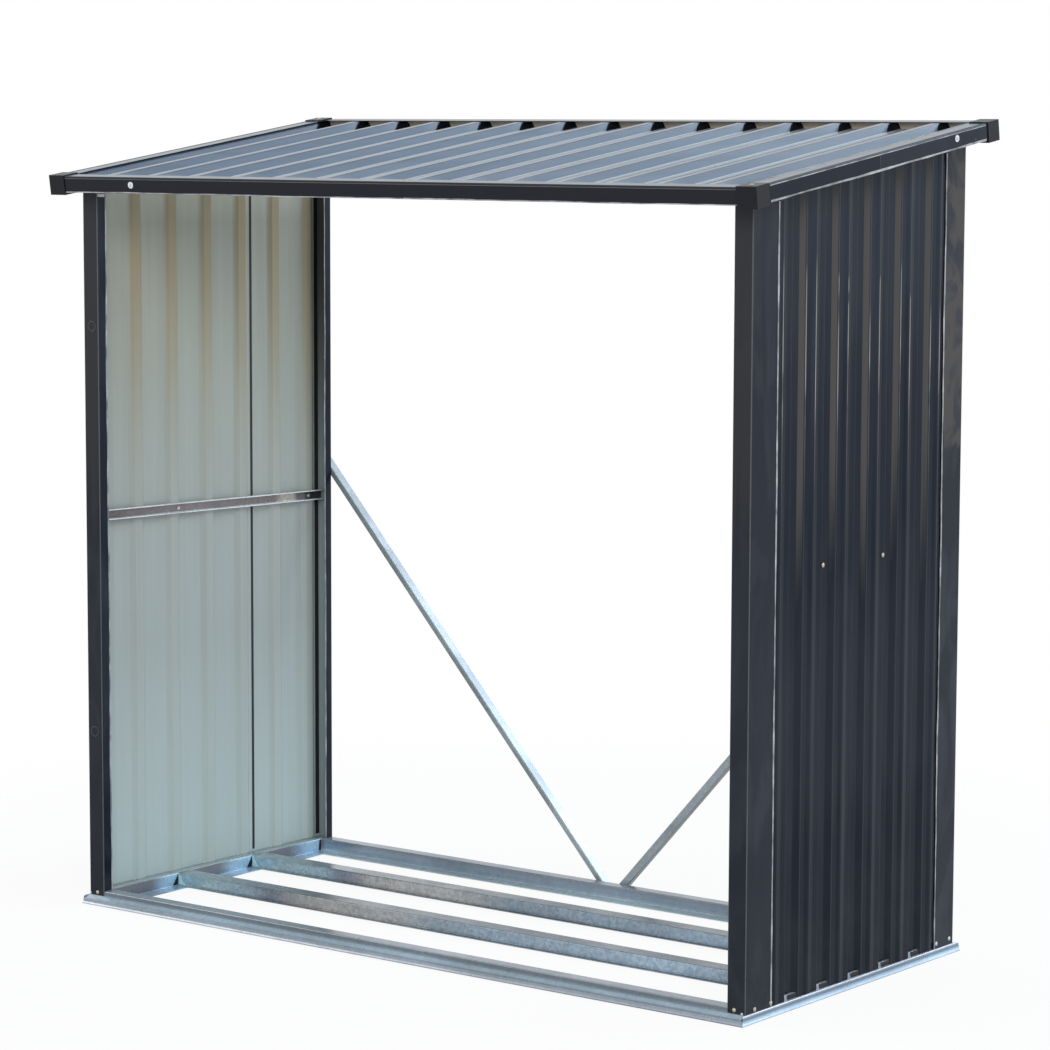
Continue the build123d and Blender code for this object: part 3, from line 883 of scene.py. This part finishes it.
# Painted shade: the ribs stop short of the rail behind them, and dark plates on the rail's riser
# stand for the shade in the gaps under them.
rail_riser = 0.7746
shade_low, shade_high = 0.0172, 0.0258
for number in range(-3, 4):
    rib_y = rib_shift + number * rib_pitch
    plate("rib_foot_gap_" + str(number + 4), (
        (rail_riser, rib_y - 0.0115, shade_high), (rail_riser, rib_y - 0.0085, shade_low),
        (rail_riser, rib_y + 0.0198, shade_low), (rail_riser, rib_y + 0.0198, shade_high),
    ), (1.0, 0.0, 0.0), gap_and_shade_black)
wall_face = 0.7768
for name, side_x, places, outward in (
    ("wall_screws_right", wall_face, ((-0.116, 0.770), (0.080, 0.769)), to_right),
    ("wall_screws_left", -wall_face, ((-0.096, 0.762), (0.320, 0.755)), to_left),
):
    screws(name, [(side_x, *place) for place in places], outward, 0.0042, brass)


# Wall rails. A zinc-coated channel runs along the inside of each wall at half height and
# takes the screws that come through the sheets.
rail_lip_x = 0.756
rail_lip_reach = 0.338
rail_lip_rise = 0.00925


def wall_rail_painted_light(tree, place, facing):
    """A dull web, with a pale patch near its rear end, between two flanges painted pale as a
    reflection on faces turned up and down.
    """
    web = ramp(tree, place["Y"], -half_depth, half_depth, (
        (-0.3, (0.15, 0.138, 0.138)), (0.0, (0.16, 0.148, 0.155)), (0.19, (0.14, 0.13, 0.135)),
        (0.225, (0.42, 0.4, 0.37)), (0.25, (0.42, 0.4, 0.37)), (0.268, (0.11, 0.11, 0.11)),
        (0.33, (0.06, 0.065, 0.065)),
    ))
    level = ranged(tree, reckon(tree, "ABSOLUTE", facing["Z"]), 0.5, 0.9)
    return mixed(tree, level, web, (0.75, 0.77, 0.78))


wall_rail_steel = galvanised("wall_rail_steel", wall_rail_painted_light, 0.2, 0.25, 220.0, 0.5)
for name in ("left_wall_rail", "right_wall_rail"):
    dress(name, wall_rail_steel)
screws(
    "wall_rail_nuts", [(-0.7655, -0.096, 0.762), (-0.7655, 0.300, 0.755)], to_right, 0.0038,
    zinc_head,
)
# Painted highlights: thin pale strips along the upper and lower lips of each wall rail.
for edge_name, rise in (("upper", rail_lip_rise), ("lower", -rail_lip_rise)):
    for side_name, turned, front_z, rear_z in (
        ("left", -1, 0.7669, 0.7551), ("right", 1, 0.77, 0.77),
    ):
        strip(
            side_name + "_wall_rail_edge_" + edge_name,
            (rail_lip_x * turned, -rail_lip_reach, front_z + rise),
            (rail_lip_x * turned, rail_lip_reach, rear_z + rise),
            (0, 0, 1), (-turned, 0, 0), 0.0017, 0.0001, zinc_highlight,
        )


# Top beams. Light zinc-coated angles run under the roof from post to post and tie their
# heads; a tab of the front one shows beside the front left post.
def beam_painted_reflection(tree, place, facing):
    """An even zinc grey with painted reflection: a little bluer on faces turned up, a little
    warmer on faces turned down under the roof.
    """
    upward = ranged(tree, facing["Z"], -0.9, 0.9)
    return mixed(tree, upward, (0.4, 0.4, 0.37), (0.36, 0.4, 0.43))


beam_steel = galvanised("beam_steel", beam_painted_reflection)
for name in ("front", "rear", "left", "right"):
    dress("top_beam_" + name, beam_steel)
strip(
    "beam_tab_front_left", (-0.7395, -0.3425, 1.3895), (-0.722, -0.3425, 1.3895), (0, 0, 1),
    to_front, 0.006, 0.0, beam_steel, lift=0.0012,
)


# Roof sheets. Three ribbed pre-coated sheets lie side by side with their ribs running
# down the slope, coat up and primer down, clamped under the trims.
roof_slope = radians(8.1)
roof_fall = 0.1423
roof_middle = Vector((0.0, -0.00268, 1.48374))
up_slope = Vector((0.0, cos(roof_slope), sin(roof_slope)))
off_roof = Vector((0.0, -sin(roof_slope), cos(roof_slope)))
roof_rib_pitch = 0.1067
roof_left_end = 0.792
roof_primer = (0.45, 0.455, 0.4)
# Heights over the slope: the foot of the ribs, the top of the pans, the upper part of a
# rib's flanks, and its crest. The left fold's place and reach are shares of a pitch.
rib_foot, pan_top, flank_top, rib_crest = 1.4662, 1.4672, 1.4775, 1.4809
left_fold_place, left_fold_reach = 0.928, 0.022
rib_end_y = 0.357
rib_end_lean = 1.1

roof_finish, tree = new_material("roof_coat")
points = points_on(tree)
place = split(tree, points)
outside = use_group(tree, coat_side, Middle=(0.0, 0.0, 0.0), Axes=(0.0, 0.0, 1.0), Slope=0.0)
wear_and_sheen = use_group(tree, weather_and_sheen, Dust_height=0.0, Cloud_share=0.2)
grain = noise(tree, stretched(tree, points, 40.0, 2.0, 40.0), 1.0, 3.0)
grain = ranged(tree, grain, 0.35, 0.65)
# The roof's blue, lighter than the walls' coat, is partly the coat's own blue-grey and partly a
# painted reflection of the sky.
roof_blue = mixed(tree, grain, (0.08, 0.102, 0.145), (0.112, 0.138, 0.185))
over = reckon(tree, "MULTIPLY_ADD", place["Y"], -roof_fall, place["Z"])
# How far a point lies along one pitch of the ribs, from 0 to 1; twenty pitches are added to keep
# it positive. Painted reflections: the pans are pale on the right of each rib, then tan, then
# dark.
ribs_along = reckon(tree, "ADD", place["X"], roof_left_end + 20 * roof_rib_pitch)
ribs_along = reckon(tree, "FRACT", reckon(tree, "DIVIDE", ribs_along, roof_rib_pitch))
pan_bands = ramp(tree, ribs_along, 0.0, 1.0, (
    (0.13, (0.1, 0.125, 0.165)), (0.15, (0.44, 0.5, 0.54)), (0.25, (0.44, 0.5, 0.54)),
    (0.29, (0.14, 0.158, 0.165)), (0.5, (0.12, 0.135, 0.14)), (0.75, (0.07, 0.08, 0.095)),
))
low_down = reckon(tree, "LESS_THAN", over, pan_top)
roof_blue = mixed(tree, low_down, roof_blue, pan_bands)
# Painted shade: a dark line on the left fold of each rib, which dims its highlight.
left_fold = reckon(tree, "SUBTRACT", ribs_along, left_fold_place)
left_fold = reckon(tree, "LESS_THAN", reckon(tree, "ABSOLUTE", left_fold), left_fold_reach)
left_fold = times(tree, left_fold, reckon(tree, "GREATER_THAN", over, flank_top))
roof_blue = mixed(tree, left_fold, roof_blue, (0.02, 0.026, 0.036))
# Painted light, paler towards the front and rear trims, and painted shadow, dark at the slanting
# ends of the ribs.
ends = ranged(tree, reckon(tree, "ABSOLUTE", place["Y"]), 0.29, 0.38, 0.0, 0.5, smooth=True)
roof_blue = mixed(tree, ends, roof_blue, (0.27, 0.32, 0.39))
end_line = reckon(tree, "SUBTRACT", rib_crest, over)
end_line = reckon(tree, "MULTIPLY_ADD", end_line, rib_end_lean, place["Y"])
rib_end = reckon(tree, "GREATER_THAN", end_line, rib_end_y)
rib_end = times(tree, reckon(tree, "GREATER_THAN", over, rib_foot), rib_end)
roof_blue = mixed(tree, rib_end, roof_blue, (0.004, 0.005, 0.009))
roof_blue = mixed(tree, times(tree, wear_and_sheen["Specks"], 0.6), roof_blue, speck_grey)
close(tree, put(
    tree, "ShaderNodeBsdfPrincipled", Roughness=0.22, IOR=1.5, Specular_IOR_Level=0.25,
    Base_Color=mixed(tree, outside["Outside"], roof_primer, roof_blue),
    Specular_Tint=coat_tint,
))
for name in ("left", "middle", "right"):
    dress("roof_sheet_" + name, roof_finish)


# Roof trims. Folded capping covers the four edges of the roof, dark outside and primed
# inside, two lengths on each edge, screwed through the face with large white washers.
trim_end = 0.776
face_out = 0.3973
side_out = 0.815
side_reach = 0.354
hem_off = -0.0318
trim_warm = (0.015, 0.0145, 0.018)


def on_roof(across, up, off):
    """A point given across the roof, up its slope and off its surface."""
    return roof_middle + Vector((across, 0.0, 0.0)) + up_slope * up + off_roof * off


def trim_coat(name, middle, axes, tones, primer):
    """Finish of a trim's fold whose middle and open axes are given."""
    made, tree = new_material(name)
    facing = spot_and_face(tree)[1]
    outside = use_group(tree, coat_side, Middle=middle, Axes=axes, Slope=roof_fall)
    wear_and_sheen = use_group(tree, weather_and_sheen, Cloud_share=0.3)
    # Painted reflections: faces turned to the front take the warm colour, and faces turned up a
    # sky blue.
    coat = coated(tree, wear_and_sheen, facing, tones, trim_warm, 1.0)
    coat = mixed(tree, ranged(tree, facing["Z"], 0.6, 0.9), coat, (0.035, 0.07, 0.11))
    finish_sheet(tree, outside["Outside"], coat, primer, 0.12)
    return made


end_fold = ((0.0, 0.384, 1.4518), (0.0, 1.0, 1.0))
side_fold = ((0.797, 0.0, 1.4518), (1.0, 0.0, 1.0))
# Painted light: the end trims' primer is a bright tan for the light and reflection on their inner
# faces, and the side trims' rear lengths are painted paler than their front lengths, as lit and
# shaded copies of one coat.
end_trim_finish = trim_coat("end_trim_coat", *end_fold, (0.1, 0.3), (0.8, 0.7, 0.58))
side_trim_dark = trim_coat("side_trim_coat", *side_fold, (0.0, 0.12), roof_primer)
side_trim_pale = trim_coat("side_trim_pale_coat", *side_fold, (0.1, 0.36), roof_primer)
for name in ("front_left", "front_right", "rear_left", "rear_right"):
    dress("roof_trim_" + name, end_trim_finish)
for side_name in ("left", "right"):
    dress("roof_trim_" + side_name + "_front", side_trim_dark)
    dress("roof_trim_" + side_name + "_rear", side_trim_pale)

for end_name, facing_up in (("front", -1), ("rear", 1)):
    outward = up_slope * facing_up
    line_up = face_out * facing_up
    for part_name, start_x, stop_x in (("left", -trim_end, 0.059), ("right", 0.061, trim_end)):
        strip(
            "trim_hem_" + end_name + "_" + part_name, on_roof(start_x, line_up, hem_off),
            on_roof(stop_x, line_up, hem_off), off_roof, outward, 0.0018, 0.0009, bare_edge_and_highlight,
            phase=start_x,
        )
    # Painted shade and highlight on each end trim's face: a dark strip for the shade in its
    # groove, and a thin lighter line below it.
    for line_name, off, width, finish in (
        ("groove_shade", -0.0036, 0.0024, gap_and_shade_black), ("line", -0.0062, 0.0014, fold_highlight),
    ):
        strip(
            "trim_" + line_name + "_" + end_name, on_roof(-trim_end, line_up, off),
            on_roof(trim_end, line_up, off), off_roof, outward, width, 0.0, finish,
        )
for side_name, turned in (("left", -1), ("right", 1)):
    on_face, on_top = (off_roof, (turned, 0, 0)), ((1, 0, 0), off_roof)
    # Along each side trim: its bare hem, a painted highlight along the outer corner, a dark strip
    # for the shade in the groove on its top, and its bare inner edge.
    for line_name, line_x, off, lie, width, waving, finish, phase in (
        ("hem", side_out, hem_off, on_face, 0.0034, 0.0007, bare_edge_and_highlight, 2.0),
        ("corner", side_out, -0.0052, on_face, 0.0018, 0.0, bare_edge_and_highlight, 0.0),
        ("groove_shade", 0.8105, -0.002, on_top, 0.0035, 0.0, gap_and_shade_black, 0.0),
        ("inner_edge", 0.7775, -0.002, on_top, 0.003, 0.0008, bare_edge_and_highlight, 4.0),
    ):
        strip(
            "trim_" + line_name + "_" + side_name, on_roof(line_x * turned, -side_reach, off),
            on_roof(line_x * turned, side_reach, off), *lie, width, waving, finish, phase=phase,
        )
washer_white = plain("washer_white", (0.78, 0.82, 0.86), 0.4)
washer_radius, washer_height, trim_screw_radius = 0.0065, 0.2, 0.0026
for name, washer_spot, screw_spot, outward in (
    ("front", (-0.603, -0.3938, 1.411), (-0.603, -0.3952, 1.4108), -up_slope),
    ("right", (0.8152, 0.248, 1.505), (0.8166, 0.248, 1.505), to_right),
):
    screws(
        "trim_washer_" + name, [washer_spot], outward, washer_radius, washer_white,
        washer_height,
    )
    screws("trim_screw_" + name, [screw_spot], outward, trim_screw_radius, zinc_head)
screws("trim_joint_screw", [on_roof(0.056, -0.391, -0.002)], off_roof, 0.0032, brass)


# Corner caps. Four hollow black plastic mouldings are pushed over the ends of the trims
# and held by a screw through the top; their skin is finely pebbled.
cap_finish, tree = new_material("cap_plastic")
pebbles = noise(tree, points_on(tree), 900.0, 2.0)
skin = put(tree, "ShaderNodeBump", Strength=0.15, Distance=0.0002, Height=pebbles)
close(tree, put(
    tree, "ShaderNodeBsdfPrincipled", Base_Color=(0.007, 0.008, 0.012, 1.0), Roughness=0.35,
    Normal=skin.outputs[0], Specular_IOR_Level=0.16,
))
for name in ("front_left", "front_right", "rear_left", "rear_right"):
    dress("roof_cap_" + name, cap_finish)
    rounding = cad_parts["roof_cap_" + name].modifiers.new("rounding", "BEVEL")
    rounding.width = 0.001
    rounding.segments = 2
    rounding.limit_method = "ANGLE"
    rounding.angle_limit = radians(50)
cap_screw_x, cap_screw_up = 0.797, 0.381
for name, turned, finish in (("front_right", 1, brass), ("rear_left", -1, zinc_head)):
    spot = on_roof(cap_screw_x * turned, -cap_screw_up * turned, 0.0003)
    screws("cap_screw_" + name, [spot], off_roof, 0.0042, finish)


# Braces. Two zinc-coated angles make a V across the open back, screwed to the rear posts
# at half height and to the rear rail near its middle.
def brace(name, web, flange):
    """Steel of one brace, whose web and flange are painted with different reflections of the room.
    """

    def colours(tree, place, facing):
        """The web's painted reflection where a face looks to the front or rear, else the flange's.
        """
        to_end = ranged(tree, reckon(tree, "ABSOLUTE", facing["Y"]), 0.4, 0.7)
        return mixed(tree, to_end, flange, web)

    return galvanised(name, colours, 0.1, 0.2)


for side_name, web, flange in (
    ("left", (0.31, 0.36, 0.38), (0.46, 0.53, 0.6)),
    ("right", (0.33, 0.38, 0.41), (0.12, 0.14, 0.155)),
):
    brace_name = "brace_" + side_name
    dress(brace_name, brace(brace_name + "_steel", web, flange))
